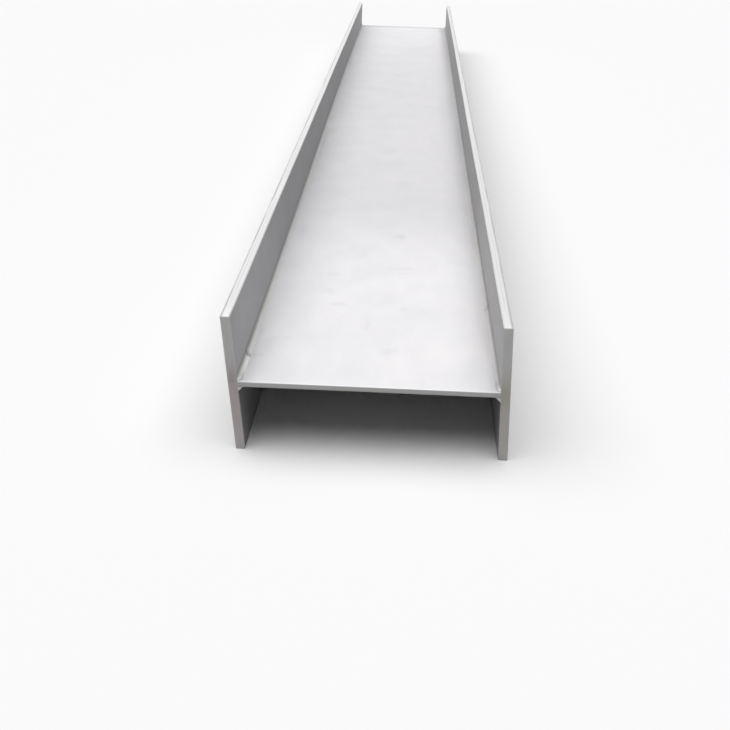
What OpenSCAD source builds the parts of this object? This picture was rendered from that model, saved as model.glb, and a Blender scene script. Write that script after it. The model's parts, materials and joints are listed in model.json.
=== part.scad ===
// Welded stainless steel H-beam, lying on its flange edges with the web level.
// Two flange plates stand upright, a web plate joins them at mid height,
// and a fillet weld runs along each of the four roots. Sizes are in millimetres.
// X runs across the section, Y along the beam and Z up from the floor.
// The origin is on the floor, under the middle of the beam.

/* [Section] */
// Depth of the section, over the outer faces of both flanges
section_depth = 300; // [200:5:600]
// Width of the flanges, which is the beam's height as it lies
flange_width = 150; // [100:5:300]

/* [Plates] */
// Thickness of each flange plate
flange_thickness = 10; // [8:1:25]
// Thickness of the web plate
web_thickness = 6; // [4:0.5:16]
// Radius dressed onto the long edges of the flange plates
edge_radius = 1.5; // [0.5:0.25:3]

/* [Welds] */
// Leg of each fillet weld, along the web and along the flange
weld_leg = 5; // [3:0.5:12]
// Depth of the weld's hollow face under the straight line between its toes
weld_hollow = 0.8; // [0.2:0.1:0.8]

/* [Sawn ends] */
// Length that the beam is sawn to
beam_length = 3000; // [500:100:6000]
// Chamfer where the burr is dressed off the sawn edges
end_break = 1; // [0.3:0.1:1.5]

/* [Hidden] */
// Every node of the part
// Node to draw, or all of them
// Sides of a full circle, fine enough to count as a true curve
$fn = 96;
// Height of the middle of the web above the floor
web_centre_z = flange_width / 2;
// Distance from the middle of the beam to the inner face of a flange
flange_inner_x = section_depth / 2 - flange_thickness;
// Distance from the middle of the beam to the toe of a weld on the web
weld_toe_x = flange_inner_x - weld_leg;
// Straight line between the two toes of a weld
weld_chord = weld_leg * sqrt(2);
// Radius of the weld's hollow face
weld_face_radius = (weld_chord * weld_chord / 4 + weld_hollow * weld_hollow) / (2 * weld_hollow);
// Distance of that radius's centre from the root, along each leg
weld_face_centre = weld_leg / 2 + (weld_face_radius - weld_hollow) / sqrt(2);
// Sides of the full circle that the weld's shallow face is part of
weld_face_sides = 720;
// Dull silver of the pickled plates
plate_colour = [0.78, 0.78, 0.79];
// Warmer, darker silver of the welds
weld_colour = [0.66, 0.64, 0.60];

// Outline of a plate w by h, centred, with its four corners rounded to radius r
module rounded_outline(w, h, r) {
  square([w - 2 * r, h], center = true);
  square([w, h - 2 * r], center = true);
  for (x = [-1, 1], y = [-1, 1])
    translate([x * (w / 2 - r), y * (h / 2 - r)])
      circle(r = r);
}

// Outline of a plate w by h, centred, with its four corners cut off by c
module chamfered_outline(w, h, c) {
  polygon([
    [-w / 2 + c, -h / 2],
    [w / 2 - c, -h / 2],
    [w / 2, -h / 2 + c],
    [w / 2, h / 2 - c],
    [w / 2 - c, h / 2],
    [-w / 2 + c, h / 2],
    [-w / 2, h / 2 - c],
    [-w / 2, -h / 2 + c]
  ]);
}

// Extrudes an outline drawn in X and Z along the whole beam
module along_beam() {
  rotate([90, 0, 0])
    linear_extrude(height = beam_length, center = true)
      children();
}

// Right-hand flange plate, with its long edges rounded and its sawn ends dressed
module right_flange_shape() {
  translate([flange_inner_x + flange_thickness / 2, 0, web_centre_z])
    intersection() {
      along_beam()
        rounded_outline(flange_thickness, flange_width, edge_radius);
      rotate([90, 0, 90])
        linear_extrude(height = flange_thickness, center = true)
          chamfered_outline(beam_length, flange_width, end_break);
    }
}

// Burr chamfer across one end of the web's upper face, from weld toe to weld toe
module web_end_chamfer() {
  translate([0, beam_length / 2, web_thickness / 2])
    rotate([45, 0, 0])
      cube([2 * weld_toe_x, end_break * sqrt(2), end_break * sqrt(2)], center = true);
}

// Section of the weld in its root corner, which is at the origin, with both legs positive.
// The circle of the face crosses the two legs at the toes.
module weld_section() {
  difference() {
    square(weld_face_centre);
    translate([weld_face_centre, weld_face_centre])
      circle(r = weld_face_radius, $fn = weld_face_sides);
  }
}

// One fillet weld, on the right above the web
module upper_right_weld_shape() {
  translate([flange_inner_x, 0, web_centre_z + web_thickness / 2])
    mirror([1, 0, 0])
      along_beam()
        weld_section();
}

// Turns the upper side of the beam into its lower side
module flipped() {
  translate([0, 0, 2 * web_centre_z])
    mirror([0, 0, 1])
      children();
}

module web_plate() {
  color(plate_colour)
    translate([0, 0, web_centre_z])
      difference() {
        cube([2 * flange_inner_x, beam_length, web_thickness], center = true);
        for (turn = [0, 180], face = [0, 1])
          rotate([0, 0, turn])
            mirror([0, 0, face])
              web_end_chamfer();
      }
}

module flange_plate_left() {
  color(plate_colour)
    mirror([1, 0, 0])
      right_flange_shape();
}

module flange_plate_right() {
  color(plate_colour)
    right_flange_shape();
}

module fillet_weld_upper_left() {
  color(weld_colour)
    mirror([1, 0, 0])
      upper_right_weld_shape();
}

module fillet_weld_upper_right() {
  color(weld_colour)
    upper_right_weld_shape();
}

module fillet_weld_lower_left() {
  color(weld_colour)
    flipped()
      mirror([1, 0, 0])
        upper_right_weld_shape();
}

module fillet_weld_lower_right() {
  color(weld_colour)
    flipped()
      upper_right_weld_shape();
}

web_plate();
flange_plate_left();
flange_plate_right();
fillet_weld_upper_left();
fillet_weld_upper_right();
fillet_weld_lower_left();
fillet_weld_lower_right();
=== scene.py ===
"""Looks of a welded stainless steel H-beam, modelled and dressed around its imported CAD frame.

The beam lies on its flange edges, with its web level. X runs across the section, Y along the beam
and Z up, in metres, as in the frame.
"""

import json
import logging
import math
from collections.abc import Callable, Iterator
from contextlib import contextmanager
from dataclasses import dataclass, field
from enum import Enum
from functools import cached_property
from typing import Any, Union

import bmesh
import bpy
from mathutils import Matrix, Vector

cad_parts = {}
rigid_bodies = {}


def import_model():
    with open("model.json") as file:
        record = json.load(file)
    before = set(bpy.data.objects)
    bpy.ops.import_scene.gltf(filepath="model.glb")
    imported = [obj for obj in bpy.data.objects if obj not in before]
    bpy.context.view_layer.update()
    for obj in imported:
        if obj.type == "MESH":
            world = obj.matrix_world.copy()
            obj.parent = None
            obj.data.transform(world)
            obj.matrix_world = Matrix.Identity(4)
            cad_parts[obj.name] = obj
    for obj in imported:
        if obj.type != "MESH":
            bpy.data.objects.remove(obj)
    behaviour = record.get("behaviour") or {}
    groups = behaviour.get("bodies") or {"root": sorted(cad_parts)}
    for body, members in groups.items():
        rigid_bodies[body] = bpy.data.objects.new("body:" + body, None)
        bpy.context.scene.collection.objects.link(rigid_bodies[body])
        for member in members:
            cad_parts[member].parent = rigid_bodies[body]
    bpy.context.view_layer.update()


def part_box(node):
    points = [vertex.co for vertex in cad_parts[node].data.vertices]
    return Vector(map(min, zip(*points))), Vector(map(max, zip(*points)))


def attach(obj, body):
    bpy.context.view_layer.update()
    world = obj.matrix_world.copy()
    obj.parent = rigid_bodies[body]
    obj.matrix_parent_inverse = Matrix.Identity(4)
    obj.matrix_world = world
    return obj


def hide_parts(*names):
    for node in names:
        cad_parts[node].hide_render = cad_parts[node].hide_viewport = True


log = logging.getLogger("beam")

MM = 0.001
# Slack for telling whether a vertex is on a plane
TOUCH = 0.01 * MM
IMAGE_SIDE_PX = 730
BODY = "root"

Colour = tuple[float, float, float, float]
Span = tuple[float, float]
Number = Union[float, "Signal"]


def grey(level: float) -> Colour:
    """A colour with the same level in all channels."""
    return level, level, level, 1.0


class Side(Enum):
    """Which flange, seen from the near end, as the sign of its X."""

    LEFT = -1
    RIGHT = 1


class Level(Enum):
    """Which face of the web, as the sign of its normal's Z."""

    UPPER = 1
    LOWER = -1


class Axis(Enum):
    """An axis of the frame, as its place in a vector."""

    X = 0
    Y = 1
    Z = 2


class Part(Enum):
    """What an edit-mode selection is made of."""

    VERTS = "VERT"
    EDGES = "EDGE"
    FACES = "FACE"


@dataclass(frozen=True)
class Run:
    """How one bead was laid.

    Attributes:
        stop: distance from the near end to where it was stopped and started again.
        mark: how dark the painted shade in the crater at the stop is, from 0 to 1.
        brushed: how bright it was brushed between the near end and the stop, from 0 to 1.
        soot: how much darker it is than the others, as painted shade, from 0 to 1.
        set_back: distance from the near end over which it thins out.
    """

    stop: float
    mark: float = 0.35
    brushed: float = 0.0
    soot: float = 0.0
    set_back: float = 0.0


RUNS = {
    (Side.LEFT, Level.UPPER): Run(stop=72 * MM, mark=0.65, brushed=0.7, set_back=5 * MM),
    # The upper right bead is darkened as painted shade
    (Side.RIGHT, Level.UPPER): Run(stop=250 * MM, soot=0.1, set_back=5 * MM),
    (Side.LEFT, Level.LOWER): Run(stop=1310 * MM),
    (Side.RIGHT, Level.LOWER): Run(stop=1840 * MM),
}


# Noises


@dataclass(frozen=True)
class Pattern:
    """A fractal noise that breaks up a finish.

    Attributes:
        per_metre: features to a metre along X, Y and Z.
        octaves: octaves of finer noise.
    """

    per_metre: tuple[float, float, float]
    octaves: float

    @classmethod
    def even(cls, per_metre: float, octaves: float) -> "Pattern":
        """A noise that is the same along all axes."""
        return cls((per_metre, per_metre, per_metre), octaves)


PATCHES = Pattern((10.0, 4.0, 10.0), 5.0)
CLOUDS = Pattern.even(2.2, 2.0)
STREAKS = Pattern((160.0, 2.0, 160.0), 4.0)
PLATE_GRAIN = Pattern.even(700.0, 2.0)
MOTTLE = Pattern((40.0, 16.0, 40.0), 3.0)
CAST = Pattern.even(11.0, 2.0)
HEAT_DRIFT = Pattern((18.0, 9.0, 18.0), 2.0)
SAW_CUTS = Pattern((700.0, 1.0, 30.0), 3.0)
EDGE_SWAY = Pattern((2.0, 7.0, 2.0), 2.0)
RAGGED = Pattern((110.0, 45.0, 110.0), 3.0)
SPOTS = Pattern((42.0, 26.0, 42.0), 1.0)
SPOT_GROUPS = Pattern.even(5.0, 1.0)
# Turn of the scratches about Z, in radians, and their noise
SCRATCHES = ((0.12, Pattern((420.0, 2.6, 420.0), 1.0)), (-0.5, Pattern((330.0, 4.5, 330.0), 1.0)))
BEAD_PATCHES = Pattern.even(30.0, 4.0)
BEAD_DRIFT = Pattern((20.0, 6.0, 20.0), 3.0)
BEAD_GRAIN = Pattern.even(900.0, 2.0)

Swings = tuple[tuple[Pattern, float], ...]

# How far each noise swings a plate's tone, its roughness and its relief
TONE_SWINGS: Swings = ((PATCHES, 0.3), (CLOUDS, 0.3), (STREAKS, 0.05), (MOTTLE, 0.6), (PLATE_GRAIN, 0.3))
ROUGHNESS_SWINGS: Swings = ((PATCHES, 0.15), (STREAKS, 0.05))
RELIEF_SWINGS: Swings = ((PLATE_GRAIN, 0.5), (STREAKS, 0.08), (PATCHES, 0.3))
# The same for a bead's roughness and relief
BEAD_ROUGHNESS_SWINGS: Swings = ((BEAD_PATCHES, 0.25), (BEAD_GRAIN, 0.1))
BEAD_RELIEF_SWINGS: Swings = ((BEAD_GRAIN, 1.0), (BEAD_PATCHES, 0.5))


# Shader maths


class Signal:
    """An output socket of a shader node, on which Python's operators add Math nodes."""

    def __init__(self, graph: "Graph", socket: bpy.types.NodeSocket) -> None:
        """Keeps the graph that new nodes go into, and the socket."""
        self.graph = graph
        self.socket = socket

    def _maths(self, operation: str, *terms: Number) -> "Signal":
        """Adds one Math node on the given terms, in order."""
        return self.graph.node("ShaderNodeMath", {"operation": operation}, dict(enumerate(terms)))

    def __add__(self, other: Number) -> "Signal":
        """self + other."""
        return self._maths("ADD", self, other)

    def __radd__(self, other: Number) -> "Signal":
        """other + self."""
        return self._maths("ADD", other, self)

    def __sub__(self, other: Number) -> "Signal":
        """self - other."""
        return self._maths("SUBTRACT", self, other)

    def __rsub__(self, other: Number) -> "Signal":
        """other - self."""
        return self._maths("SUBTRACT", other, self)

    def __mul__(self, other: Number) -> "Signal":
        """self * other."""
        return self._maths("MULTIPLY", self, other)

    def __rmul__(self, other: Number) -> "Signal":
        """other * self."""
        return self._maths("MULTIPLY", other, self)

    def __pow__(self, other: Number) -> "Signal":
        """self ** other."""
        return self._maths("POWER", self, other)

    def __abs__(self) -> "Signal":
        """abs(self)."""
        return self._maths("ABSOLUTE", self)

    def at_least(self, floor: Number) -> "Signal":
        """The larger of the signal and a floor."""
        return self._maths("MAXIMUM", self, floor)

    def swing(self, reach: float) -> "Signal":
        """A noise about 0.5, brought to be about 0 and scaled by a reach."""
        return (self - 0.5) * reach

    def rise(self, start: float, end: float) -> "Signal":
        """A smooth step that is 0 where the signal is at start and 1 where it is at end.

        Args:
            start: value of the signal where the step begins.
            end: value where it is complete; below start for a falling step.

        Returns:
            The step, held within 0 and 1.
        """
        low, high = min(start, end), max(start, end)
        levels = (0.0, 1.0) if start < end else (1.0, 0.0)
        return self.graph.node(
            "ShaderNodeMapRange",
            {"interpolation_type": "SMOOTHSTEP"},
            {"Value": self, "From Min": low, "From Max": high, "To Min": levels[0], "To Max": levels[1]},
        )

    def sibling(self, output: str) -> "Signal":
        """Another output of the same node."""
        return Signal(self.graph, self.socket.node.outputs[output])


@dataclass(frozen=True)
class Sheen:
    """How a finish takes the light.

    Attributes:
        metallic: share of the surface that reflects as bare metal.
        specular: strength of the sheen on the rest.
        bump: strength of the relief, from 0 to 1.
        depth: height of the relief.
    """

    metallic: float
    specular: float
    bump: float
    depth: float


PLATE_SHEEN = Sheen(metallic=0.4, specular=0.3, bump=0.35, depth=0.35 * MM)
WELD_SHEEN = Sheen(metallic=0.4, specular=0.5, bump=0.3, depth=0.3 * MM)


class Graph:
    """The node tree of one material or world."""

    def __init__(self, tree: bpy.types.NodeTree) -> None:
        """Starts from an empty tree."""
        self.tree = tree
        tree.nodes.clear()

    def node(
        self,
        kind: str,
        settings: dict[str, Any] | None = None,
        inputs: dict[str | int, Any] | None = None,
        output: str | int = 0,
    ) -> Signal:
        """Adds a node, sets it up and connects it.

        Args:
            kind: Blender's name for the node's type.
            settings: properties of the node.
            inputs: a value or a Signal for each input socket, by name or by index.
            output: the output socket to return, by name or by index.

        Returns:
            The chosen output, or the first input of a node that has none.
        """
        made = self.tree.nodes.new(kind)
        for key, value in (settings or {}).items():
            setattr(made, key, value)
        for key, value in (inputs or {}).items():
            if isinstance(value, Signal):
                self.tree.links.new(value.socket, made.inputs[key])
            else:
                made.inputs[key].default_value = value
        return Signal(self, made.outputs[output] if made.outputs else made.inputs[0])

    def noise(self, vector: Signal, pattern: Pattern) -> Signal:
        """Fractal noise from 0 to 1, centred on 0.5.

        Args:
            vector: coordinates in metres.
            pattern: the noise's features.

        Returns:
            The noise's value.
        """
        scaled = self.node("ShaderNodeMapping", None, {"Vector": vector, "Scale": Vector(pattern.per_metre)})
        inputs = {"Vector": scaled, "Scale": 1.0, "Detail": pattern.octaves}
        return self.node("ShaderNodeTexNoise", {"noise_dimensions": "3D"}, inputs)

    def mix(
        self, factor: Number, first: Colour | Signal, second: Colour | Signal, blend: str = "MIX"
    ) -> Signal:
        """A colour that goes from first to second, or to their blend, as factor goes from 0 to 1."""
        settings = {"data_type": "RGBA", "blend_type": blend}
        return self.node("ShaderNodeMix", settings, {0: factor, 6: first, 7: second}, 2)

    def shown(self) -> Signal:
        """Tells what is seen from what lights the scene.

        Returns:
            1 for what the camera, reflections and clear things see, and 0 for the rest.
        """
        camera = self.node("ShaderNodeLightPath", None, None, "Is Camera Ray")
        seen = camera.at_least(camera.sibling("Is Glossy Ray"))
        return seen.at_least(camera.sibling("Is Transmission Ray"))

    def metal(self, colour: Signal, roughness: Signal, relief: Signal, sheen: Sheen) -> None:
        """Ends the graph with a metal surface.

        Args:
            colour: its colour.
            roughness: its roughness.
            relief: height of its relief, where 1 is the sheen's depth.
            sheen: how it takes the light.
        """
        bump = {"Strength": sheen.bump, "Distance": sheen.depth, "Height": relief}
        inputs = {
            "Base Color": colour,
            "Metallic": sheen.metallic,
            "Roughness": roughness,
            "Specular IOR Level": sheen.specular,
            "Normal": self.node("ShaderNodeBump", None, bump, "Normal"),
        }
        shader = self.node("ShaderNodeBsdfPrincipled", None, inputs)
        self.node("ShaderNodeOutputMaterial", None, {"Surface": shader})


def start_material(name: str) -> tuple[bpy.types.Material, Graph]:
    """Adds a material with an empty graph.

    Args:
        name: the material's name.

    Returns:
        The material and its graph.
    """
    made = bpy.data.materials.new(name)
    made.use_nodes = True
    return made, Graph(made.node_tree)


@dataclass
class Spot:
    """A point of a surface, as a shader sees it.

    Attributes:
        graph: the material's graph.
        place: Object coordinates.
        across: the X coordinate.
        along: the Y coordinate.
        up: the Z coordinate.
        noises: the noises that are in the graph so far.
    """

    graph: Graph
    place: Signal
    across: Signal
    along: Signal
    up: Signal
    noises: dict[Pattern, Signal] = field(default_factory=dict)

    @classmethod
    def of(cls, graph: Graph) -> "Spot":
        """Reads the coordinates.

        Args:
            graph: the material's graph.

        Returns:
            The point.
        """
        place = graph.node("ShaderNodeTexCoord", None, None, "Object")
        across = graph.node("ShaderNodeSeparateXYZ", None, {0: place}, "X")
        return cls(graph, place, across, across.sibling("Y"), across.sibling("Z"))

    def noise(self, pattern: Pattern) -> Signal:
        """One of the noises, added to the graph when it is first asked for.

        Args:
            pattern: the noise's features.

        Returns:
            The noise's value.
        """
        if pattern not in self.noises:
            self.noises[pattern] = self.graph.noise(self.place, pattern)
        return self.noises[pattern]

    def stirred(self, start: Number, swings: Swings) -> Number:
        """A value that noises swing about a start.

        Args:
            start: the middle value.
            swings: each noise, and how far it swings the value.

        Returns:
            The value.
        """
        for pattern, reach in swings:
            start = self.noise(pattern).swing(reach) + start
        return start


# Places


@dataclass(frozen=True)
class BeamPlaces:
    """Places in the frame that the pieces and finishes are laid out by, in metres.

    Attributes:
        inner_x: distance of the flanges' inner faces from the middle plane.
        web_z: height of the middle of the web.
        half_web: half of the web's thickness.
        half_width: half of the flanges' width.
        half_length: half of the beam's length.
        weld_leg: leg of the fillet welds.
    """

    inner_x: float
    web_z: float
    half_web: float
    half_width: float
    half_length: float
    weld_leg: float

    @classmethod
    def from_frame(cls) -> "BeamPlaces":
        """Reads the places off the CAD nodes.

        Returns:
            The places.
        """
        web_low, web_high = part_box("web_plate")
        flange_low, flange_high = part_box("flange_plate_right")
        weld_low, weld_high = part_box("fillet_weld_upper_right")
        return cls(
            inner_x=web_high.x,
            web_z=(web_low.z + web_high.z) / 2,
            half_web=(web_high.z - web_low.z) / 2,
            half_width=(flange_high.z - flange_low.z) / 2,
            half_length=web_high.y,
            weld_leg=weld_high.z - weld_low.z,
        )

    def y_at(self, distance: float) -> float:
        """The Y coordinate at a distance from the near end."""
        return distance - self.half_length

    def from_near(self, along: Signal, start: float, end: float) -> Signal:
        """A smooth step from 0 at one distance from the near end to 1 at another."""
        return along.rise(self.y_at(start), self.y_at(end))

    def from_ends(self, along: Signal, start: float, end: float) -> Signal:
        """A smooth step from 0 at one distance from the nearer end to 1 at another."""
        return abs(along).rise(self.half_length - start, self.half_length - end)

    def beside_web(self, side: Side, across: Signal) -> Signal:
        """Distance from one flange's inner face, towards the other."""
        return self.inner_x - across * side.value

    def off_web(self, up: Signal) -> Signal:
        """Distance from the nearer face of the web, which is less than 0 inside it."""
        return abs(up - self.web_z) - self.half_web


@dataclass(frozen=True)
class Lean:
    """Lean of both flanges, most at the near end, as welding has pulled them. Their upper edges stay put.

    Attributes:
        places: the beam's places.
        left_reach: how far the left flange's lower edge moves along X at the near end.
        right_reach: the same of the right flange.
        straight_after: distance from the near end after which the flanges are straight.
        still_after: distance from a root after which the web stays put.
    """

    places: BeamPlaces
    left_reach: float = 15 * MM
    right_reach: float = 4.5 * MM
    straight_after: float = 2.1
    still_after: float = 80 * MM

    def _share(self, side: Side, point: Vector) -> float:
        """How much of one flange's reach a point moves.

        Args:
            side: the flange.
            point: the point's place.

        Returns:
            0 for none of it, up to 1 at the lower edge of the near end.
        """
        down = clamp(0.5 + (self.places.web_z - point.z) / (2 * self.places.half_width))
        along = clamp(1 - (point.y + self.places.half_length) / self.straight_after)
        from_root = self.places.inner_x - side.value * point.x
        across = clamp((self.still_after - from_root) / (self.still_after - 2 * self.places.weld_leg))
        return down * along * along * (3 - 2 * along) * across

    def apply(self, piece: bpy.types.Object) -> None:
        """Moves a piece's vertices by the lean.

        Args:
            piece: the object.
        """
        for side, reach in ((Side.LEFT, self.left_reach), (Side.RIGHT, self.right_reach)):
            group = weigh(piece, f"lean {side.name.lower()}", lambda point: self._share(side, point))
            push(piece, Axis.X, reach, group)

    def undone(self, at: Spot) -> Signal:
        """The X coordinate that a place had before the lean.

        Args:
            at: the place as it is.

        Returns:
            The X coordinate in the square section.
        """
        down = 0.5 + (self.places.web_z - at.up) * (0.5 / self.places.half_width)
        near = self.places.from_near(at.along, self.straight_after, 0.0)
        still, whole = self.places.inner_x - self.still_after, self.places.inner_x - 2 * self.places.weld_leg
        left = at.across.rise(-still, -whole) * self.left_reach
        right = at.across.rise(still, whole) * self.right_reach
        return at.across - down * near * (left + right)


# Finishes


@dataclass(frozen=True)
class Smudge:
    """A faint dark mark, in millimetres.

    Attributes:
        middle: X, distance from the near end, and height over the middle of the web.
        half_size: half of its size along X, Y and Z.
        depth: how dark it is, where 1 is a plain smudge.
    """

    middle: tuple[float, float, float]
    half_size: tuple[float, float, float]
    depth: float


WEB_SMUDGES = (
    Smudge((31, 548, 3), (9, 10, 50), 1.0),
    Smudge((-61, 365, 3), (12, 9, 50), 0.5),
    Smudge((-61, 295, 3), (9, 10, 50), 0.7),
    Smudge((-43, 250, 3), (11, 8, 50), 0.6),
    Smudge((32, 398, 3), (18, 6, 50), 0.5),
    Smudge((34, 378, 3), (20, 5, 50), 0.4),
    Smudge((39, 239, 3), (5, 7, 50), 0.7),
    Smudge((-5, 185, 3), (4, 24, 50), 0.4),
    Smudge((22, 101, 3), (8, 10, 50), 0.5),
    Smudge((-124, 76, 3), (9, 5, 50), 0.9),
)
# Dark marks in the corner at the near end, beside the upper left bead's end
LEFT_FLANGE_SMUDGES = (
    Smudge((-136, 0, 3), (3, 4, 1.5), 3.0),
    Smudge((-141, 0, 6), (7, 4, 7), 1.4),
)


@dataclass(frozen=True)
class RootTint:
    """A colour along the roots, broken up by noise.

    Attributes:
        colour: the colour.
        strength: how much of it there is at most.
        reach: distances from the root at which it starts and is whole.
        pattern: the noise that breaks it up.
        breaks: levels of that noise at which it starts and is whole.
    """

    colour: Colour
    strength: float
    reach: Span
    pattern: Pattern
    breaks: Span

    def share(self, at: Spot, root: Signal) -> Signal:
        """Where it is, from 0 to 1, by the distance from the root."""
        return root.rise(*self.reach) * at.noise(self.pattern).rise(*self.breaks)


SLATE_TINT = RootTint((0.43, 0.44, 0.48, 1), 0.14, (34 * MM, 18 * MM), HEAT_DRIFT, (0.55, 0.75))
STRAW_TINT = RootTint((0.52, 0.475, 0.39, 1), 0.11, (18 * MM, 7 * MM), HEAT_DRIFT, (0.40, 0.64))
# Dirt by the roots; its colour also paints the shade line along the welds
DIRT = RootTint((0.23, 0.226, 0.218, 1), 0.098, (14 * MM, 5 * MM), PATCHES, (0.42, 0.62))


@dataclass(frozen=True)
class Band:
    """A band of painted shade on the web along one root, where the flange shades it.

    Attributes:
        side: the flange that it runs beside.
        strength: how dark the painted shade is at most.
        width: distances from the flange at which it starts and is whole.
        changes: distances from the near end between which it gets stronger or weaker.
        before: share of its strength up to there.
        after: share of its strength from there on.
        near_loss: share that it loses towards the near end.
    """

    side: Side
    strength: float
    width: Span
    changes: Span
    before: float
    after: float
    near_loss: float


# Painted shade on the web beside each flange
WEB_BANDS = (
    Band(Side.LEFT, 0.2, (100 * MM, 25 * MM), (600 * MM, 1900 * MM), before=1.0, after=0.55, near_loss=1.0),
    Band(Side.RIGHT, 0.85, (28 * MM, 4 * MM), (400 * MM, 1400 * MM), before=0.45, after=1.0, near_loss=0.8),
)


@dataclass(frozen=True)
class PlateFinish:
    """Hot rolled, annealed and pickled stainless plate: matte silver, mottled and a little marked, with
    painted shade, a painted sheen and a painted highlight.

    Attributes:
        name: the material's name.
        lean: lean of the flanges, which the marks follow.
        dark: colour of the darker patches.
        pale: colour of the paler patches.
        dull: colour of the painted shade, halfway along and towards the roots.
        dull_from: distance from the near end at which the painted sheen starts to fade.
        dull_by: distance from the near end by which it has faded.
        bright_from: distance from the near end at which the painted sheen starts to come back.
        bright_by: distance from the near end by which it would be back.
        dull_share: how dark the plate is in between, from 0 to 1.
        brink_share: how dark the painted shade on the brink of the far end is.
        bands: painted shade along the roots, on the web.
        seam: strength of the painted shade line in the corner along the welds, on plates that stand on the
            web.
        smudges: the smudges on it.
        smudge_share: how much of its colour a plain smudge takes.
        roughness: middle of the roughness.
        cut: colour of the long cut edges.
        cut_line: colour of the lines along them.
        sawn: colour of the sawn ends.
        saw_mark: level of the darker saw marks on them.
        scorched: colour of the sawn ends below the web.
        gleam: colour of the painted highlight on the dressed edge above a sawn end.
        gleam_share: how much of that colour shows.
        stain: colour of the smudges.
        cool: faint lilac cast, mostly on the left.
        warm: faint pink cast, mostly on the right.
    """

    name: str
    lean: Lean
    dark: Colour
    pale: Colour
    dull: Colour
    dull_from: float = 350 * MM
    dull_by: float = 780 * MM
    bright_from: float = 1800 * MM
    bright_by: float = 3500 * MM
    dull_share: float = 0.52
    brink_share: float = 0.7
    bands: tuple[Band, ...] = ()
    seam: float = 0.0
    smudges: tuple[Smudge, ...] = ()
    smudge_share: float = 0.17
    roughness: float = 0.68
    cut: Colour = grey(0.72)
    cut_line: Colour = grey(0.52)
    sawn: Colour = (0.655, 0.652, 0.648, 1)
    saw_mark: float = 0.9
    scorched: Colour = (0.655, 0.652, 0.648, 1)
    gleam: Colour = grey(0.90)
    gleam_share: float = 0.3
    stain: Colour = (0.375, 0.37, 0.366, 1)
    cool: Colour = (0.975, 0.975, 1.0, 1)
    warm: Colour = (1.025, 1.005, 1.017, 1)

    @property
    def places(self) -> BeamPlaces:
        """The beam's places."""
        return self.lean.places

    def material(self) -> bpy.types.Material:
        """Makes the material from its faces, root marks, cut edges, sawn ends, smudges and a painted
        highlight above the sawn ends.

        Returns:
            The material, which reads Object coordinates.
        """
        made, graph = start_material(self.name)
        at = Spot.of(graph)
        at.across = self.lean.undone(at)
        scratches = self._scratches(at)
        dirt = DIRT.share(at, self._root_distance(at))
        tip = abs(at.up - self.places.web_z).rise(self.places.half_width - 2 * MM, self.places.half_width)
        end = self.places.from_ends(at.along, 0.5 * MM, 0.2 * MM)

        colour = self._face_colour(at, scratches)
        colour = self._root_colour(at, colour)
        # Painted highlight along the edges above the sawn ends
        brink = self.places.from_ends(at.along, 4 * MM, 1.5 * MM)
        colour = graph.mix(brink * self.gleam_share, colour, self.gleam)
        colour = graph.mix(tip, colour, graph.mix(self._cut_lines(at), self.cut, self.cut_line))
        colour = graph.mix(end, colour, self._end_colour(at))
        colour = graph.mix(self._smudge_marks(at) * self.smudge_share, colour, self.stain)

        roughness = at.stirred(self.roughness, ROUGHNESS_SWINGS) - scratches * 0.06
        roughness = roughness + end * 0.05 - tip * 0.10 + dirt * 0.105
        relief = at.stirred(0.0, RELIEF_SWINGS) - scratches * 0.2 + at.noise(SAW_CUTS) * end * 0.8
        graph.metal(colour, roughness, relief, PLATE_SHEEN)
        return made

    def _face_colour(self, at: Spot, scratches: Signal) -> Signal:
        """The colour of the open faces: patches, duller stretches and a faint cast.

        Args:
            at: the place.
            scratches: 1 along a scratch.

        Returns:
            The colour.
        """
        mix = at.graph.mix
        colour = mix(at.stirred(scratches * 0.06 + 0.5, TONE_SWINGS), self.dark, self.pale)
        # Painted sheen near the ends, painted shade halfway along and on the far brink
        colour = mix(self._dullness(at), colour, self.dull)
        # Painted shade along the roots
        colour = mix(self._band_dullness(at), colour, self.dull)
        warmth = 0.5 + at.across * 2.2 + at.noise(CAST).swing(2.4)
        return mix(1.0, colour, mix(warmth, self.cool, self.warm), "MULTIPLY")

    def _dullness(self, at: Spot) -> Signal:
        """How much painted shade the plate takes: halfway along, between the painted sheen near both ends,
        and on the brink of the far end.

        Args:
            at: the place.

        Returns:
            0 where the plate is bright, and up to the larger of the two shares.
        """
        wander = at.noise(CLOUDS).swing(0.3) + at.along
        # Painted sheen: paler towards both ends, darker halfway along
        middle = self.places.from_near(wander, self.dull_from, self.dull_by)
        middle = middle * self.places.from_near(wander, self.bright_by, self.bright_from)
        # Painted shade on the brink of the far end
        brink = at.along.rise(self.places.half_length - 60 * MM, self.places.half_length - 20 * MM)
        return (middle * self.dull_share).at_least(brink * self.brink_share)

    def _band_dullness(self, at: Spot) -> Number:
        """How much painted shade lies along the roots, lifted beside the stretch where one bead was brushed.

        Args:
            at: the place.

        Returns:
            0 where it keeps its colour, and up to the strength of a band.
        """
        total: Number = 0.0
        along = at.along + at.noise(MOTTLE).swing(14 * MM)
        near = self.places.from_near(along, 250 * MM, 40 * MM)
        for band in self.bands:
            beside = self.places.beside_web(band.side, at.across)
            change = self.places.from_near(along, *band.changes)
            dull = beside.rise(*band.width) * (band.before + change * (band.after - band.before))
            dull = dull * (1.0 - near * band.near_loss) * band.strength
            # The painted shade is lifted beside the brushed stretch of the bead
            run = RUNS[band.side, Level.UPPER]
            if run.brushed:
                brushed = self.places.from_near(along, run.stop + 3 * MM, run.stop - 3 * MM)
                dull = dull * (1.0 - brushed * beside.rise(26 * MM, 8 * MM) * 0.85)
            total = dull + total
        return total

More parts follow.
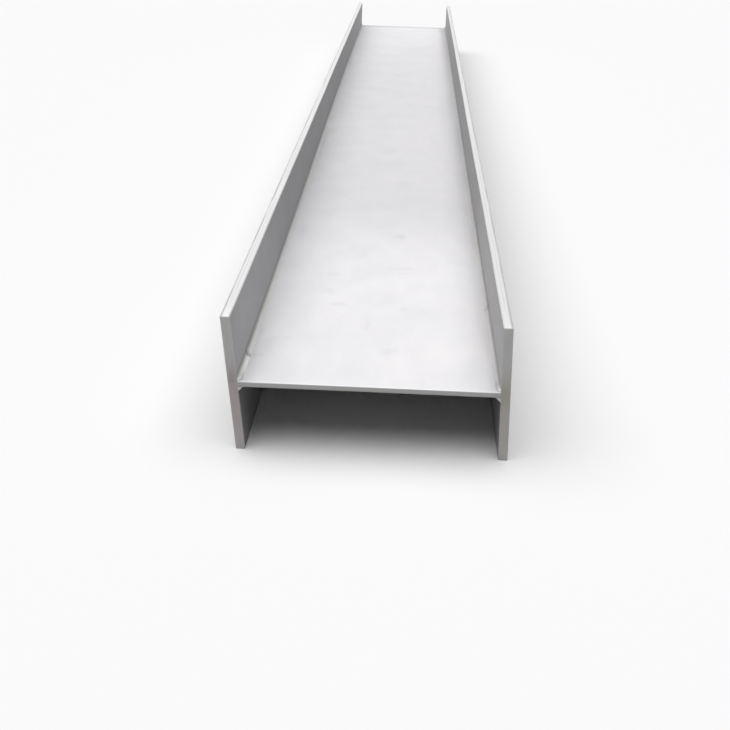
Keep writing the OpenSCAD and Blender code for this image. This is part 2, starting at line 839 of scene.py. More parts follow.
    def _root_colour(self, at: Spot, colour: Signal) -> Signal:
        """Adds the heat colours, the dirt and the painted shade line along the welds.

        Args:
            at: the place.
            colour: the plate's colour without them.

        Returns:
            The colour with them.
        """
        root = self._root_distance(at)
        for tint in (SLATE_TINT, STRAW_TINT, DIRT):
            colour = at.graph.mix(tint.share(at, root) * tint.strength, colour, tint.colour)
        # Painted shade in the corner where the welds meet the flanges
        uneven_line = self._seam_line(at) * (0.6 + at.noise(HEAT_DRIFT) * 0.8)
        return at.graph.mix(uneven_line * self.seam, colour, DIRT.colour)

    def _root_distance(self, at: Spot) -> Signal:
        """Distance from the nearest corner of web and flange.

        Args:
            at: the place.

        Returns:
            The distance, in metres.
        """
        beside = abs(at.across) - self.places.inner_x
        above = self.places.off_web(at.up).at_least(0.0)
        return (beside * beside + above * above) ** 0.5

    def _seam_line(self, at: Spot) -> Signal:
        """The line along a flange's inner face where the weld meets it, which takes painted shade.

        Args:
            at: the place.

        Returns:
            1 on the line and 0 elsewhere.
        """
        above = self.places.off_web(at.up) - self.places.weld_leg
        inside = abs(at.across).rise(self.places.inner_x + 1.4 * MM, self.places.inner_x + 0.6 * MM)
        return above.rise(4.0 * MM, 0.5 * MM) * inside

    def _cut_lines(self, at: Spot) -> Signal:
        """Lines along the cut edges: one on the outer border, and a fainter one inside it.

        Args:
            at: the place.

        Returns:
            How far the edge is from its plain colour, from 0 to 1.
        """
        sway = at.noise(EDGE_SWAY)
        over = abs(at.across) - self.places.inner_x + sway.swing(3 * MM)
        border = over.rise(7.0 * MM, 8.6 * MM) * sway.rise(0.30, 0.55)
        inner = abs(over - 4.6 * MM).rise(1.4 * MM, 0.3 * MM) * sway.rise(0.62, 0.45)
        return border * 0.9 + inner * 0.4

    def _end_colour(self, at: Spot) -> Signal:
        """The colour of the sawn ends: saw marks, and a scorched stretch below the web.

        Args:
            at: the place.

        Returns:
            The colour.
        """
        red, green, blue, _ = (self.saw_mark * channel for channel in self.sawn)
        sawn = at.graph.mix(at.noise(SAW_CUTS), (red, green, blue, 1.0), self.sawn)
        under = at.up.rise(self.places.web_z + 40 * MM, self.places.web_z + 2 * MM)
        return at.graph.mix(under * at.up.rise(-20 * MM, 40 * MM), sawn, self.scorched)

    def _smudge_marks(self, at: Spot) -> Signal:
        """The plate's smudges, with ragged borders, and a scatter of fainter ones.

        Args:
            at: the place.

        Returns:
            About 1 in a plain smudge and 0 elsewhere.
        """
        ragged = at.noise(RAGGED).swing(3.2)
        total = at.noise(SPOTS).rise(0.58, 0.80) * 0.35 * at.noise(SPOT_GROUPS).rise(0.46, 0.60)
        start = Vector((0.0, self.places.y_at(0.0), self.places.web_z))
        node = at.graph.node
        for smudge in self.smudges:
            middle = start + MM * Vector(smudge.middle)
            spread = Vector([1 / (MM * half) for half in smudge.half_size])
            off = node("ShaderNodeVectorMath", {"operation": "SUBTRACT"}, {0: at.place, 1: middle})
            off = node("ShaderNodeVectorMath", {"operation": "MULTIPLY"}, {0: off, 1: spread})
            reach = node("ShaderNodeVectorMath", {"operation": "LENGTH"}, {0: off}, "Value")
            total = total + (reach + ragged).rise(1.5, 0.1) * smudge.depth
        return total

    @staticmethod
    def _scratches(at: Spot) -> Signal:
        """Sparse fine scratches in two directions.

        Args:
            at: the place.

        Returns:
            1 along a scratch and 0 elsewhere.
        """
        total: Number = 0.0
        for turn, pattern in SCRATCHES:
            inputs = {"Vector": at.place, "Rotation": Vector((0, 0, turn))}
            turned = at.graph.node("ShaderNodeMapping", None, inputs)
            total = at.graph.noise(turned, pattern).rise(0.71, 0.78) + total
        return total


@dataclass(frozen=True)
class WeldFinish:
    """As-laid weld metal, brushed: duller and warmer than the plate, with heat colours, painted shade in its
    hollows and a painted highlight on its end lumps.

    Attributes:
        name: the material's name.
        places: the beam's places.
        run: how the bead was laid.
        soot: how much darker than its colours the bead is at the near end.
        far_soot: the same further along.
        soot_changes: distances from the near end between which it gets darker.
        bright: colour of the brushed crests.
        dull: colour of the duller bead.
        straw: pale heat colour.
        slate: deeper heat colour.
        grime: colour of the painted shade at the flange's toe, in the crevice at the near end and at the
            stop, and of the bead's overall darker tone.
        tail: colour of the painted highlight on the lumps at the beam's ends, which the brushed stretch
            takes too.
        sawn: colour of the sawn ends.
        roughness: middle of the roughness.
    """

    name: str
    places: BeamPlaces
    run: Run
    soot: float = 0.15
    far_soot: float = 0.33
    soot_changes: Span = (280 * MM, 700 * MM)
    bright: Colour = (0.70, 0.696, 0.692, 1)
    dull: Colour = (0.62, 0.616, 0.612, 1)
    straw: Colour = (0.62, 0.605, 0.575, 1)
    slate: Colour = (0.525, 0.53, 0.55, 1)
    grime: Colour = (0.20, 0.196, 0.192, 1)
    tail: Colour = (0.775, 0.773, 0.768, 1)
    sawn: Colour = (0.655, 0.652, 0.648, 1)
    roughness: float = 0.45

    def material(self) -> bpy.types.Material:
        """Makes the material.

        Returns:
            The material, which reads Object coordinates.
        """
        made, graph = start_material(self.name)
        at = Spot.of(graph)
        patches, drift = at.noise(BEAD_PATCHES), at.noise(BEAD_DRIFT)
        colour = graph.mix(patches.rise(0.3, 0.7), self.dull, self.bright)
        colour = graph.mix(drift.rise(0.48, 0.70) * 0.45, colour, self.straw)
        colour = graph.mix(drift.rise(0.46, 0.30) * 0.30, colour, self.slate)
        # The bead darkens further along; a run's own share is painted shade
        further = self.places.from_near(at.along, *self.soot_changes)
        soot = self.run.soot + self.soot + further * (self.far_soot - self.soot)
        colour = graph.mix(soot, colour, self.grime)
        colour = self._marks(at, colour)
        roughness = at.stirred(self.roughness, BEAD_ROUGHNESS_SWINGS)
        graph.metal(colour, roughness, at.stirred(0.0, BEAD_RELIEF_SWINGS), WELD_SHEEN)
        return made

    def _marks(self, at: Spot, colour: Signal) -> Signal:
        """Adds the brushed stretch, the painted highlight on the end lumps, painted shade towards the
        flange's toe, at the stop and in the crevice at the start, and the sawn ends.

        Args:
            at: the place.
            colour: the bead's colour without them.

        Returns:
            The colour with them.
        """
        mix, places, leg = at.graph.mix, self.places, self.places.weld_leg
        height = places.off_web(at.up)
        stop_y = places.y_at(self.run.stop)
        brushed = at.along.rise(stop_y, stop_y - 3 * MM) * self.run.brushed
        # Painted highlight on the end lumps; the brushed stretch takes the same colour
        colour = mix(places.from_ends(at.along, 20 * MM, 8 * MM).at_least(brushed), colour, self.tail)
        # Painted shade: the bead darkens towards the flange's toe, as its hollow face turns from the light
        colour = mix(height.rise(0.25 * leg, 0.95 * leg) * 0.6, colour, self.grime)
        # Painted shade in the crater at the stop
        from_stop = abs(at.along - stop_y + at.noise(BEAD_PATCHES).swing(6 * MM))
        colour = mix(from_stop.rise(8.0 * MM, 0.5 * MM) * self.run.mark, colour, self.grime)
        # Painted shade in the crevice at the near end, where the bead starts set back
        crevice = height.rise(0.45 * leg, 0.10 * leg) * places.from_near(at.along, 40 * MM, 6 * MM)
        colour = mix(crevice * 0.55, colour, self.grime)
        return mix(places.from_ends(at.along, 0.5 * MM, 0.2 * MM), colour, self.sawn)


@dataclass(frozen=True)
class FloorFinish:
    """A pale studio floor that looks white and still takes the beam's shadow.

    Attributes:
        name: the material's name.
        bounce: colour that lights the beam from below.
        seen: colour that the camera and reflections see.
    """

    name: str
    bounce: Colour = grey(0.17)
    seen: Colour = grey(0.99)

    def material(self) -> bpy.types.Material:
        """Makes the material.

        Returns:
            The material.
        """
        made, graph = start_material(self.name)
        colour = graph.mix(graph.shown(), self.bounce, self.seen)
        matte = graph.node("ShaderNodeBsdfDiffuse", None, {"Color": colour})
        graph.node("ShaderNodeOutputMaterial", None, {"Surface": matte})
        return made


# Modelling


def select_only(piece: bpy.types.Object) -> None:
    """Selects one piece and nothing else, and makes it the active one.

    Args:
        piece: the object.
    """
    bpy.ops.object.select_all(action="DESELECT")
    piece.select_set(True)
    bpy.context.view_layer.objects.active = piece


@contextmanager
def editing(piece: bpy.types.Object) -> Iterator[None]:
    """Edit mode on one piece, with nothing else selected.

    Args:
        piece: the object to edit.
    """
    select_only(piece)
    bpy.ops.object.mode_set(mode="EDIT")
    try:
        yield
    finally:
        bpy.ops.object.mode_set(mode="OBJECT")


def pick(piece: bpy.types.Object, part: Part, test: Callable[[Any], bool]) -> None:
    """Selects the elements of a mesh in edit mode that pass a test, and no others.

    Args:
        piece: the object in edit mode.
        part: what kind of element to select.
        test: says yes or no to one bmesh vertex, edge or face.
    """
    bpy.ops.mesh.select_mode(type=part.value)
    bpy.ops.mesh.select_all(action="DESELECT")
    mesh = bmesh.from_edit_mesh(piece.data)
    elements = {Part.VERTS: mesh.verts, Part.EDGES: mesh.edges, Part.FACES: mesh.faces}[part]
    for element in elements:
        if test(element):
            element.select_set(True)
    mesh.select_flush_mode()
    bmesh.update_edit_mesh(piece.data)


def runs_along(edge: bmesh.types.BMEdge, axis: Axis, shortest: float) -> bool:
    """Whether an edge lies along an axis and is longer than a given length.

    Args:
        edge: the edge.
        axis: the axis.
        shortest: the length that it has to pass.

    Returns:
        True if it does.
    """
    span = edge.verts[1].co - edge.verts[0].co
    reach = abs(span[axis.value])
    return reach > shortest and reach > 0.999 * span.length


def pick_along(piece: bpy.types.Object, axis: Axis, shortest: float) -> None:
    """Selects the edges of a mesh in edit mode that lie along an axis and are longer than a given length."""
    pick(piece, Part.EDGES, lambda edge: runs_along(edge, axis, shortest))


def bevel_picked(width: float, segments: int, profile: float = 0.5) -> None:
    """Bevels the picked edges, with a round profile unless another is given."""
    bpy.ops.mesh.bevel(offset=width, segments=segments, affect="EDGES", profile=profile)


def start_box(name: str, low: Vector, high: Vector) -> bpy.types.Object:
    """Adds a box to model a piece from, with its place in its mesh.

    Args:
        name: the piece's name.
        low: lowest corner.
        high: highest corner.

    Returns:
        The new object, at the origin.
    """
    bpy.ops.object.select_all(action="DESELECT")
    bpy.ops.mesh.primitive_cube_add(size=1.0, location=(0.0, 0.0, 0.0))
    piece = bpy.context.active_object
    piece.name = piece.data.name = name
    with editing(piece):
        bpy.ops.mesh.select_all(action="SELECT")
        bpy.ops.transform.resize(value=high - low, center_override=(0.0, 0.0, 0.0))
        bpy.ops.transform.translate(value=(low + high) / 2)
    return piece


def apply_modifier(piece: bpy.types.Object, kind: str, **settings: Any) -> None:
    """Adds a modifier, sets it up and applies it.

    Args:
        piece: the object.
        kind: Blender's name for the modifier's type.
        **settings: the modifier's properties.
    """
    select_only(piece)
    modifier = piece.modifiers.new(kind.lower(), kind)
    for key, value in settings.items():
        setattr(modifier, key, value)
    bpy.ops.object.modifier_apply(modifier=modifier.name)


def clamp(value: float) -> float:
    """The value, held within 0 and 1."""
    return min(1.0, max(0.0, value))


def weigh(piece: bpy.types.Object, name: str, weight: Callable[[Vector], float]) -> str:
    """Adds a vertex group whose weights follow a rule.

    Args:
        piece: the object.
        name: the group's name.
        weight: gives the weight, from 0 to 1, at a vertex's place.

    Returns:
        The group's name.
    """
    group = piece.vertex_groups.new(name=name)
    for vertex in piece.data.vertices:
        group.add([vertex.index], weight(vertex.co), "REPLACE")
    return group.name


def push(piece: bpy.types.Object, axis: Axis, distance: float, group: str) -> None:
    """Moves the vertices of a group along an axis, each by its weight's share of a distance."""
    settings = {"direction": axis.name, "strength": distance, "mid_level": 0.0, "vertex_group": group}
    apply_modifier(piece, "DISPLACE", **settings)


def wave(
    piece: bpy.types.Object,
    name: str,
    size: float,
    axis: Axis | None,
    height: float,
    middle: float,
    group: str,
) -> None:
    """Displaces the vertices of a group by clouds of noise.

    Args:
        piece: the object.
        name: the noise's name.
        size: size of the clouds, in metres.
        axis: the axis that they move along, or None to move along their normals.
        height: from the lowest to the highest place, in metres.
        middle: level of the noise that stays put.
        group: the vertex group.
    """
    clouds = bpy.data.textures.new(name, "CLOUDS")
    clouds.noise_scale = size
    clouds.noise_depth = 1
    apply_modifier(
        piece,
        "DISPLACE",
        texture=clouds,
        texture_coords="LOCAL",
        direction="NORMAL" if axis is None else axis.name,
        strength=height,
        mid_level=middle,
        vertex_group=group,
    )


def smooth(piece: bpy.types.Object, degrees: float) -> None:
    """Shades a piece smooth, except across edges sharper than an angle in degrees."""
    select_only(piece)
    bpy.ops.object.shade_smooth_by_angle(angle=math.radians(degrees))


def hand_over(piece: bpy.types.Object, node: str, finish: bpy.types.Material) -> None:
    """Dresses a finished piece and puts it in the place of its CAD node.

    Args:
        piece: the finished object.
        node: the CAD node that it stands for.
        finish: its material.
    """
    piece.data.materials.clear()
    piece.data.materials.append(finish)
    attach(piece, BODY)
    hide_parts(node)


# Sub-assemblies


@dataclass
class WebPlate:
    """The level plate between the flanges.

    Attributes:
        lean: lean of the flanges, which the web's sides follow.
        node: the CAD node that it stands for.
        end_break: chamfer on the sawn ends.
        ring_gap: distance between the cuts across the plate.
        strips: cuts along the plate.
        waviness: how far the plate wanders from flat, at most.
        wave_size: size of one wave.
        held: share of the half width at which the welds hold it flat.
        crisp: angle past which an edge is shaded sharp, in degrees.
    """

    lean: Lean
    node: str = "web_plate"
    end_break: float = 1.0 * MM
    ring_gap: float = 10 * MM
    strips: int = 19
    waviness: float = 0.6 * MM
    wave_size: float = 0.32
    held: float = 0.92
    crisp: float = 15.0

    def build(self) -> bpy.types.Object:
        """Models the plate.

        Returns:
            The plate's object.
        """
        low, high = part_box(self.node)
        width, length, _ = high - low
        piece = start_box("web", low, high)
        with editing(piece):
            pick_along(piece, Axis.X, width / 2)
            bevel_picked(self.end_break, segments=2)
            pick_along(piece, Axis.Y, length / 2)
            bpy.ops.mesh.subdivide(number_cuts=round(length / self.ring_gap) - 1)
            pick_along(piece, Axis.X, width / 2)
            bpy.ops.mesh.subdivide(number_cuts=self.strips)
        free = weigh(piece, "free", lambda p: max(0.0, 1 - (p.x / (self.held * high.x)) ** 2) ** 0.7)
        wave(piece, "web waves", self.wave_size, Axis.Z, 2 * self.waviness, 0.5, free)
        self.lean.apply(piece)
        smooth(piece, self.crisp)
        return piece

    def dress(self, piece: bpy.types.Object, finish: bpy.types.Material) -> None:
        """Gives the plate its finish and its place."""
        hand_over(piece, self.node, finish)


@dataclass
class FlangePlate:
    """One of the two upright plates.

    Attributes:
        side: which of the two.
        lean: lean of both.
        edge_radius: rounding of the long edges.
        end_break: chamfer on the sawn ends.
        ring_gap: distance between the cuts across the plate.
        strips: cuts along the plate.
        waviness: how far the free edges wander, at most.
        wave_size: size of one wave.
        held: share of the half width, from the web, that the welds hold straight.
        crisp: angle past which an edge is shaded sharp, in degrees.
    """

    side: Side
    lean: Lean
    edge_radius: float = 1.5 * MM
    end_break: float = 1.0 * MM
    ring_gap: float = 10 * MM
    strips: int = 9
    waviness: float = 0.7 * MM
    wave_size: float = 0.42
    held: float = 0.15
    crisp: float = 25.0

    @property
    def node(self) -> str:
        """The CAD node that it stands for."""
        return f"flange_plate_{self.side.name.lower()}"

    def build(self) -> bpy.types.Object:
        """Models the plate.

        Returns:
            The plate's object.
        """
        low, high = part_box(self.node)
        _, length, width = high - low
        middle = (low.z + high.z) / 2
        inner_x = low.x if self.side is Side.RIGHT else high.x
        piece = start_box(f"flange_{self.side.name.lower()}", low, high)

        def on_open_end(edge: bmesh.types.BMEdge) -> bool:
            """Whether an edge is round a sawn end, and not the one that the web meets.

            Args:
                edge: the edge.

            Returns:
                True if it is.
            """
            ends = [v.co for v in edge.verts]
            at_end = all(abs(abs(p.y) - length / 2) < TOUCH for p in ends)
            inside = all(abs(p.x - inner_x) < TOUCH for p in ends)
            return at_end and not inside

        with editing(piece):
            pick_along(piece, Axis.Y, length / 2)
            bevel_picked(self.edge_radius, segments=4)
            pick(piece, Part.EDGES, on_open_end)
            bevel_picked(self.end_break, segments=2)
            pick_along(piece, Axis.Y, length / 2)
            bpy.ops.mesh.subdivide(number_cuts=round(length / self.ring_gap) - 1)
            pick_along(piece, Axis.Z, width / 2)
            bpy.ops.mesh.subdivide(number_cuts=self.strips)
        free = weigh(piece, "free", lambda p: clamp(abs(p.z - middle) / (width / 2) - self.held))
        wave(piece, f"{self.node} waves", self.wave_size, Axis.X, 2 * self.waviness, 0.5, free)
        self.lean.apply(piece)
        smooth(piece, self.crisp)
        return piece

    def dress(self, piece: bpy.types.Object, finish: bpy.types.Material) -> None:
        """Gives the plate its finish and its place."""
        hand_over(piece, self.node, finish)


@dataclass
class FilletWeld:
    """One bead along a root, laid in ripples, with a stop and restart.

    Attributes:
        side: which flange it joins.
        level: which face of the web it is on.
        lean: lean of the flanges, which the beads follow.
        run: how it was laid.
        pitch: distance from one ripple to the next.
        ripple: height of a ripple.
        lag: how far the middle of a ripple runs ahead of its toes.
        face_steps: flats across the bead's face.
        face_share: share of the leg that the face takes up.
        hollow: profile of the face, from 0.25, straight, down to 0.08, a quarter circle.
        wander: how far the bead swells and thins, at most.
        swell_size: size of one swelling.
        pucker: height of the finer unevenness.
        pucker_size: size of one pucker.
        crater: depth of the dip at the stop.
        crater_spread: how far along the bead the dip fades in and out.
        restart: height of the lump after it.
        restart_spread: how far along the bead that lump fades in and out.
        restart_gap: distance from the dip to the lump.
        tail: height of the lumps at the beam's ends.
        tail_spread: how far along the bead those lumps fade in and out.
        tail_gap: distance of those lumps from the ends.
        thinned: share of the leg that goes where the bead thins out.
        crisp: angle past which an edge is shaded sharp, in degrees.
    """

    side: Side
    level: Level
    lean: Lean
    run: Run
    pitch: float = 2.5 * MM
    ripple: float = 0.22 * MM
    lag: float = 1.6 * MM
    face_steps: int = 8
    face_share: float = 0.97
    hollow: float = 0.10
    wander: float = 0.4 * MM
    swell_size: float = 35 * MM
    pucker: float = 0.12 * MM
    pucker_size: float = 6 * MM
    crater: float = 0.8 * MM
    crater_spread: float = 1.8 * MM
    restart: float = 0.9 * MM
    restart_spread: float = 4.5 * MM
    restart_gap: float = 7 * MM
    tail: float = 1.2 * MM
    tail_spread: float = 6 * MM
    tail_gap: float = 2 * MM
    thinned: float = 0.85
    crisp: float = 60.0

    @property
    def label(self) -> str:
        """Its level and side, in words."""
        return f"{self.level.name.lower()}_{self.side.name.lower()}"

    @property
    def node(self) -> str:
        """The CAD node that it stands for."""
        return f"fillet_weld_{self.label}"

    @property
    def places(self) -> BeamPlaces:
        """The beam's places."""
        return self.lean.places

    @cached_property
    def root(self) -> Vector:
        """The corner that the bead fills, at the near end."""
        height = self.places.web_z + self.level.value * self.places.half_web
        return Vector((self.side.value * self.places.inner_x, self.places.y_at(0.0), height))

    def build(self) -> bpy.types.Object:
        """Models the bead: one ripple first, then a row of them, cut off flush at both ends.

        Returns:
            The bead's object.
        """
        half_length, spare = self.places.half_length, 2 * self.pitch
        piece = self._lay_ripple(-half_length - spare)
        apply_modifier(
            piece,
            "ARRAY",
            fit_type="FIXED_COUNT",
            count=round(2 * (half_length + spare) / self.pitch),
            use_relative_offset=False,
            use_constant_offset=True,
            constant_offset_displace=(0.0, self.pitch, 0.0),
            use_merge_vertices=True,
            merge_threshold=2 * TOUCH,
        )
        with editing(piece):
            for outward in (-1.0, 1.0):
                end, normal = (0.0, outward * half_length, 0.0), (0.0, outward, 0.0)
                bpy.ops.mesh.select_all(action="SELECT")
                bpy.ops.mesh.bisect(plane_co=end, plane_no=normal, use_fill=True, clear_outer=True)
            bpy.ops.mesh.select_all(action="SELECT")
            bpy.ops.mesh.normals_make_consistent(inside=False)
        self._make_uneven(piece)
        self.lean.apply(piece)
        smooth(piece, self.crisp)
        return piece

    def _off_root(self, point: Vector) -> Span:
        """Distances of a point from the root along the web and along the flange."""
        return abs(point.x - self.root.x), abs(point.z - self.root.z)

    def _on_face(self, point: Vector) -> bool:
        """Whether a point is on the bead's open face, and not on the web or the flange."""
        return min(self._off_root(point)) > 5 * TOUCH

    def _lay_ripple(self, start: float) -> bpy.types.Object:
        """Models one ripple, open at both ends.

        Args:
            start: the Y coordinate that it starts at.

        Returns:
            The ripple's object.
        """
        low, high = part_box(self.node)
        first, last = Vector((low.x, start, low.z)), Vector((high.x, start + self.pitch, high.z))
        piece = start_box(f"weld_{self.label}", first, last)
        leg, crest = self.places.weld_leg, start + self.pitch / 3

        def far_corner(edge: bmesh.types.BMEdge) -> bool:
            """Whether an edge is the one opposite the root."""
            far = all(min(self._off_root(v.co)) > 0.9 * leg for v in edge.verts)
            return far and runs_along(edge, Axis.Y, 0.0)

        with editing(piece):
            pick(piece, Part.EDGES, far_corner)
            bevel_picked(self.face_share * leg, self.face_steps, self.hollow)
            pick_along(piece, Axis.Y, self.pitch / 2)
            bpy.ops.mesh.subdivide(number_cuts=2)
            pick(piece, Part.VERTS, lambda v: abs(v.co.y - crest) < 10 * TOUCH and self._on_face(v.co))
            bpy.ops.transform.shrink_fatten(value=self.ripple)
            for step in range(1, self.face_steps):
                self._bow(piece, step)
            pick(piece, Part.FACES, lambda f: abs(f.normal.y) > 0.7 and len(f.verts) > 4)
            bpy.ops.mesh.delete(type="FACE")
        return piece

    def _bow(self, piece: bpy.types.Object, step: int) -> None:
        """Moves one lengthwise row of the ripple forward, so that the ripple bows.

        Args:
            piece: the ripple, in edit mode.
            step: which row, counted from the web's toe.
        """
        share = step / self.face_steps

        def in_row(vertex: bmesh.types.BMVert) -> bool:
            """Whether a vertex is in that row, going by its direction from the root.

            Args:
                vertex: the vertex.

            Returns:
                True if it is.
            """
            beside, above = self._off_root(vertex.co)
            if max(beside, above) < 0.05 * self.places.weld_leg:
                return False
            return abs(above / (beside + above) - share) < 0.3 / self.face_steps

        pick(piece, Part.VERTS, in_row)
        ahead = self.lag * (1 - (2 * share - 1) ** 2)
        bpy.ops.transform.translate(value=(0.0, ahead, 0.0))

    def _make_uneven(self, piece: bpy.types.Object) -> None:
        """Swells and puckers the bead, with its stop, its restart, its end lumps and its thin start.

        Args:
            piece: the bead.
        """
        last_y = self.places.half_length - 10 * TOUCH
        face = weigh(piece, "face", lambda p: 1.0 if self._on_face(p) and abs(p.y) < last_y else 0.0)
        wave(piece, f"{self.node} swell", self.swell_size, None, self.wander, 0.6, face)
        wave(piece, f"{self.node} pucker", self.pucker_size, None, self.pucker, 0.6, face)
        stop_y = self.places.y_at(self.run.stop)
        near_y = self.places.y_at(self.run.set_back + self.tail_gap)
        far_y = self.places.half_length - self.tail_gap
        for name, height, spread, middle_y in (
            ("crater", -self.crater, self.crater_spread, stop_y),
            ("restart", self.restart, self.restart_spread, stop_y + self.restart_gap),
            ("near tail", self.tail, self.tail_spread, near_y),
            ("far tail", self.tail, self.tail_spread, far_y),
        ):
            self._swell(piece, name, height, spread, middle_y)
        if self.run.set_back:
            self._thin_out(piece)

    def _swell(
        self, piece: bpy.types.Object, name: str, height: float, spread: float, middle_y: float
    ) -> None:
        """Pushes the bead's face out from its root around one place, or in where the height is negative.

        Args:
            piece: the bead.
            name: the vertex group's name.
            height: how far the middle of the face goes.
            spread: how far along the bead it fades in and out.
            middle_y: the place along the beam.
        """

        def weight(point: Vector) -> float:
            """Most in the middle of the face, and none at its toes.

            Args:
                point: a vertex's place.

            Returns:
                The weight, from 0 to 1.
            """
            beside, above = self._off_root(point)
            share = above / max(beside + above, TOUCH)
            fade = clamp(1 - ((point.y - middle_y) / (2 * spread)) ** 2)
            return (1 - (2 * share - 1) ** 2) * fade * fade if max(beside, above) > 20 * TOUCH else 0.0

        group = weigh(piece, name, weight)
        for axis, outward in ((Axis.X, -self.side.value), (Axis.Z, self.level.value)):
            push(piece, axis, outward * height / math.sqrt(2), group)

    def _thin_out(self, piece: bpy.types.Object) -> None:
        """Draws the bead in towards its root at the near end, where it was started a little way along.

        Args:
            piece: the bead.
        """
        leg = self.places.weld_leg

        def share(point: Vector, off: float) -> float:
            """How far a point goes, as a share of the leg, when it is a given distance off the root."""
            return clamp(1 - (point.y - self.root.y) / self.run.set_back) * clamp(off / leg)

        beside = weigh(piece, "thin beside", lambda p: share(p, self._off_root(p)[0]))
        above = weigh(piece, "thin above", lambda p: share(p, self._off_root(p)[1]))
        for axis, inward, group in ((Axis.X, self.side.value, beside), (Axis.Z, -self.level.value, above)):
            push(piece, axis, self.thinned * leg * inward, group)

    def dress(self, piece: bpy.types.Object, finish: bpy.types.Material) -> None:
        """Gives the bead its finish and its place."""
        hand_over(piece, self.node, finish)


@dataclass
class Studio:
    """Floor, light and camera.

    Attributes:
        floor_side: side of the square floor, in metres.
        sky: strength of the even light from all round.
        backdrop: brightness of what the camera and reflections see all round.
        overhead: strength of the soft light from above.
        overhead_spread: angle that the soft light fills, in degrees.
        overhead_tilt: turn of the soft light off the vertical, about X and Y, in degrees.
        overhead_height: where the soft light hangs, in metres.
    """

    floor_side: float = 60.0
    sky: float = 0.05
    backdrop: float = 0.955
    overhead: float = 2.9
    overhead_spread: float = 90.0
    overhead_tilt: tuple[float, float] = (0.0, -8.0)
    overhead_height: float = 3.0

    def build(self) -> None:
        """Makes the floor, the light and the camera."""
        self._lay_floor()
        self._light()
        ViewOfPhoto().build()

    def _lay_floor(self) -> None:
        """Adds the floor under the beam."""
        bpy.ops.object.select_all(action="DESELECT")
        bpy.ops.mesh.primitive_plane_add(size=self.floor_side, location=(0.0, 0.0, 0.0))
        floor = bpy.context.active_object
        floor.name = floor.data.name = "floor"
        floor.data.materials.append(FloorFinish("pale floor").material())

    def _light(self) -> None:
        """Sets the even light of the world, and adds the soft light from above."""
        world = bpy.data.worlds.new("studio")
        world.use_nodes = True
        bpy.context.scene.world = world
        graph = Graph(world.node_tree)
        strength = self.sky + graph.shown() * (self.backdrop - self.sky)
        sky = graph.node("ShaderNodeBackground", None, {"Color": grey(1.0), "Strength": strength})
        graph.node("ShaderNodeOutputWorld", None, {"Surface": sky})
        about_x, about_y = (math.radians(angle) for angle in self.overhead_tilt)
        above = (0.0, 0.0, self.overhead_height)
        bpy.ops.object.select_all(action="DESELECT")
        bpy.ops.object.light_add(type="SUN", location=above, rotation=(about_x, about_y, 0.0))
        lamp = bpy.context.active_object
        lamp.name = "overhead"
        lamp.data.energy = self.overhead
        lamp.data.angle = math.radians(self.overhead_spread)


@dataclass(frozen=True)
class ViewOfPhoto:
    """The camera at the photograph's place.

    Attributes:
        place: where it stands, in metres.
        yaw: turn to the right of the beam's length, in degrees.
        pitch: tilt below the horizon, in degrees.
        roll: clockwise turn about the line of sight, in degrees.
        focal_px: focal length in the photograph's pixels.
        sensor_mm: width of the sensor.
        clip: nearest and furthest distance that it sees, in metres.
    """

    place: tuple[float, float, float] = (0.036, -2.640, 0.581)
    yaw: float = -1.80
    pitch: float = 22.74
    roll: float = 1.76
    focal_px: float = 1199.0
    sensor_mm: float = 36.0
    clip: Span = (0.01, 200.0)

    def build(self) -> None:
        """Adds the camera and makes it the scene's."""
        yaw, pitch, roll = (math.radians(angle) for angle in (self.yaw, self.pitch, self.roll))
        ahead = Vector((math.sin(yaw) * math.cos(pitch), math.cos(yaw) * math.cos(pitch), -math.sin(pitch)))
        level = Vector((math.cos(yaw), -math.sin(yaw), 0.0))
        above = level.cross(ahead)
        right = math.cos(roll) * level + math.sin(roll) * above
        up = math.cos(roll) * above - math.sin(roll) * level
        turn = Matrix((right, up, -ahead)).transposed()
        bpy.ops.object.select_all(action="DESELECT")
        bpy.ops.object.camera_add(location=self.place)
        camera = bpy.context.active_object
        camera.rotation_mode = "QUATERNION"
        camera.rotation_quaternion = turn.to_quaternion()
        camera.data.sensor_width = self.sensor_mm
        camera.data.lens = self.sensor_mm * self.focal_px / IMAGE_SIDE_PX
        camera.data.clip_start, camera.data.clip_end = self.clip
        bpy.context.scene.camera = camera


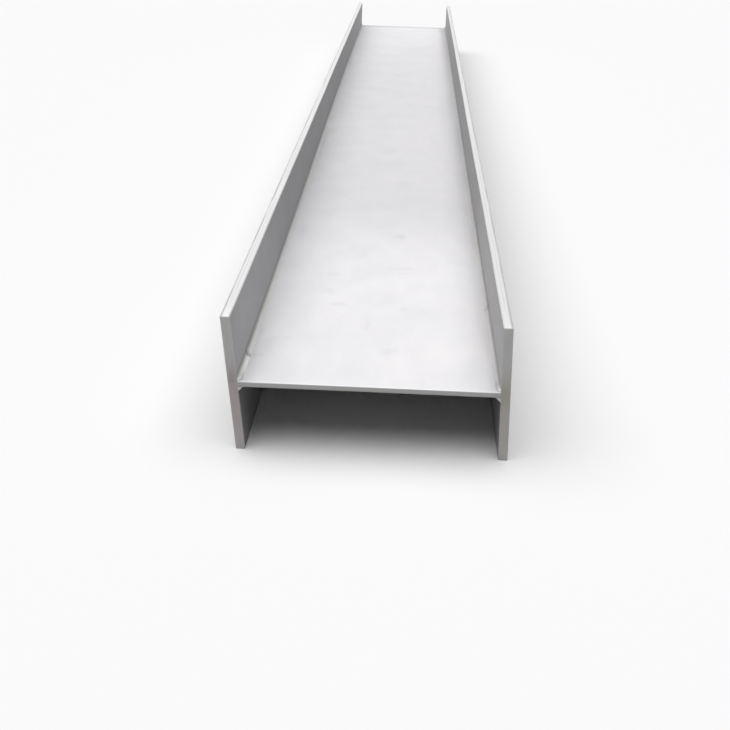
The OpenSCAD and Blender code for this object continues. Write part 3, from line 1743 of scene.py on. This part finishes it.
def web_finish(lean: Lean) -> PlateFinish:
    """The finish of the web's thinner plate.

    Args:
        lean: lean of the flanges, which the marks follow.

    Returns:
        The finish.
    """
    return PlateFinish(
        "thin plate",
        lean,
        dark=(0.665, 0.665, 0.669, 1),
        pale=grey(0.796),
        dull=(0.524, 0.524, 0.531, 1),
        bands=WEB_BANDS,
        sawn=(0.59, 0.588, 0.585, 1),
        scorched=(0.59, 0.588, 0.585, 1),
        smudges=WEB_SMUDGES,
    )


def flange_finish(side: Side, lean: Lean) -> PlateFinish:
    """The finish of a flange's thicker plate, darker than the web's as painted shade.

    Args:
        side: the flange.
        lean: lean of the flanges, which the marks follow.

    Returns:
        The finish.
    """
    # Both flanges are the web's stainless in painted shade: darker colours for upright faces that the light
    # reaches less
    if side is Side.LEFT:
        return PlateFinish(
            "left thick plate",
            lean,
            dark=grey(0.348),
            pale=grey(0.45),
            dull=grey(0.245),
            dull_from=80 * MM,
            dull_by=560 * MM,
            seam=0.6,
            scorched=(0.575, 0.515, 0.515, 1),
            smudges=LEFT_FLANGE_SMUDGES,
        )
    return PlateFinish(
        "right thick plate",
        lean,
        dark=grey(0.352),
        pale=grey(0.436),
        dull=grey(0.278),
        seam=0.05,
        scorched=(0.575, 0.553, 0.507, 1),
        cut=(0.68, 0.678, 0.678, 1),
    )


Maker = WebPlate | FlangePlate | FilletWeld
Finish = PlateFinish | WeldFinish


def main() -> None:
    """Loads the frame, builds, dresses and reports each piece, and sets up the studio."""
    logging.basicConfig(level=logging.INFO, format="%(name)s: %(message)s")
    bpy.ops.object.select_all(action="SELECT")
    bpy.ops.object.delete()
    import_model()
    bpy.context.scene.view_settings.view_transform = "Standard"

    lean = Lean(BeamPlaces.from_frame())
    makers: list[tuple[Maker, Finish]] = [(WebPlate(lean), web_finish(lean))]
    makers += [(FlangePlate(side, lean), flange_finish(side, lean)) for side in Side]
    for (side, level), run in RUNS.items():
        weld = FilletWeld(side, level, lean, run)
        makers.append((weld, WeldFinish(weld.node, lean.places, run)))
    for maker, finish in makers:
        piece = maker.build()
        maker.dress(piece, finish.material())
        log.info("%s: %d faces, finished as %s", piece.name, len(piece.data.polygons), finish.name)
    Studio().build()


if __name__ == "__main__":
    main()
